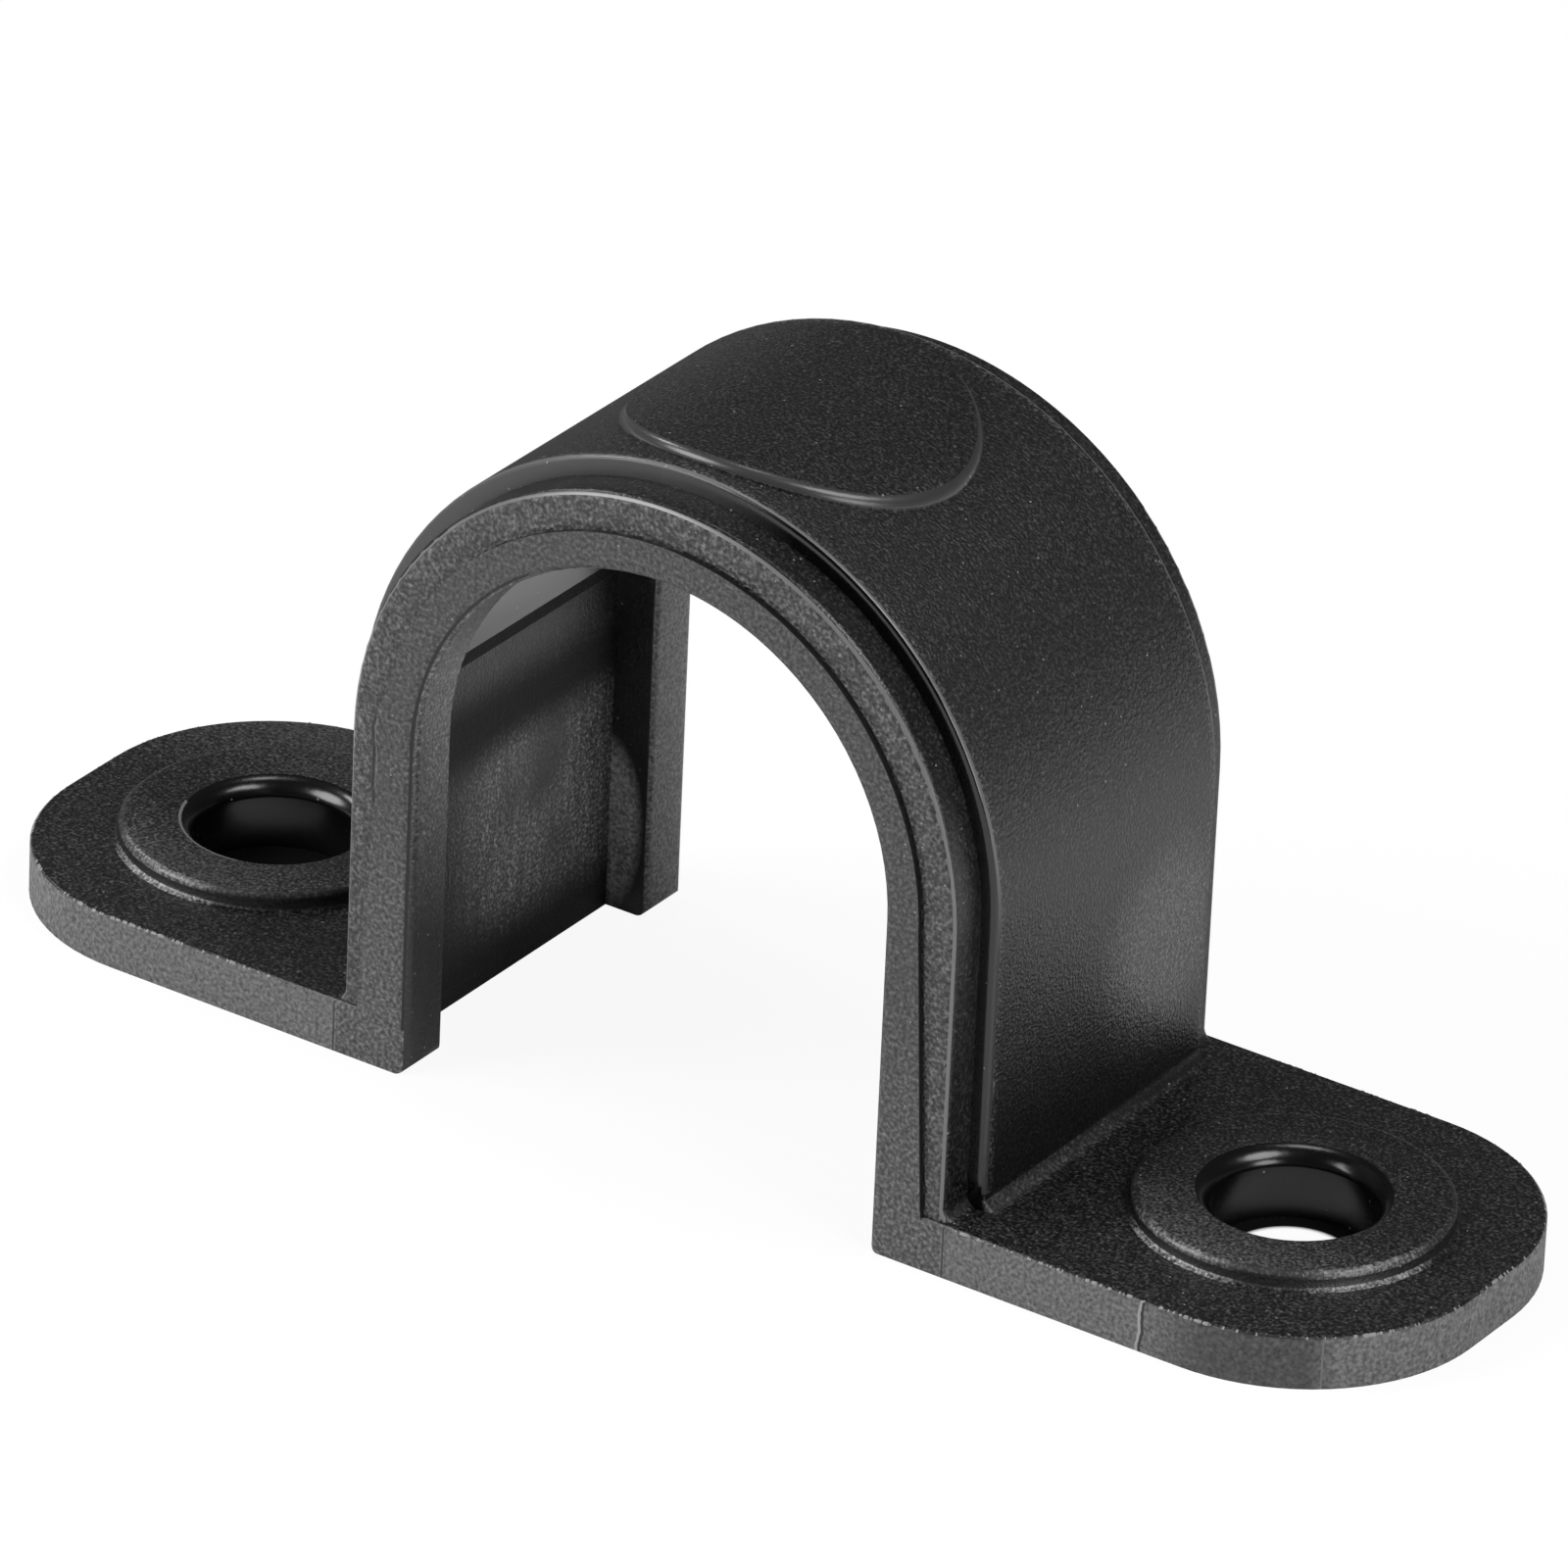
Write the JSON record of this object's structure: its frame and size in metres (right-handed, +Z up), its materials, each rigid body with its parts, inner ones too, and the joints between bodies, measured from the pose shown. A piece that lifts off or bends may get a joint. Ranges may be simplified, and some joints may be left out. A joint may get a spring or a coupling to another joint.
{
  "type": "saddle clamp",
  "caption": "Moulded plastic saddle clamp: a stepped arch on flat feet holds a pipe against a surface, with a screw through each foot.",
  "frame": {"origin": "middle of the base, on the surface that the feet rest on", "axes": "+X from foot to foot, +Y along the pipe, +Z up from the base to the crown"},
  "size_m": [0.0676, 0.0194, 0.0301],
  "materials": {
    "black_plastic": "spark-eroded grain"
  },
  "bodies": {
    "root": {"saddle": "black_plastic"}
  },
  "joints": []
}
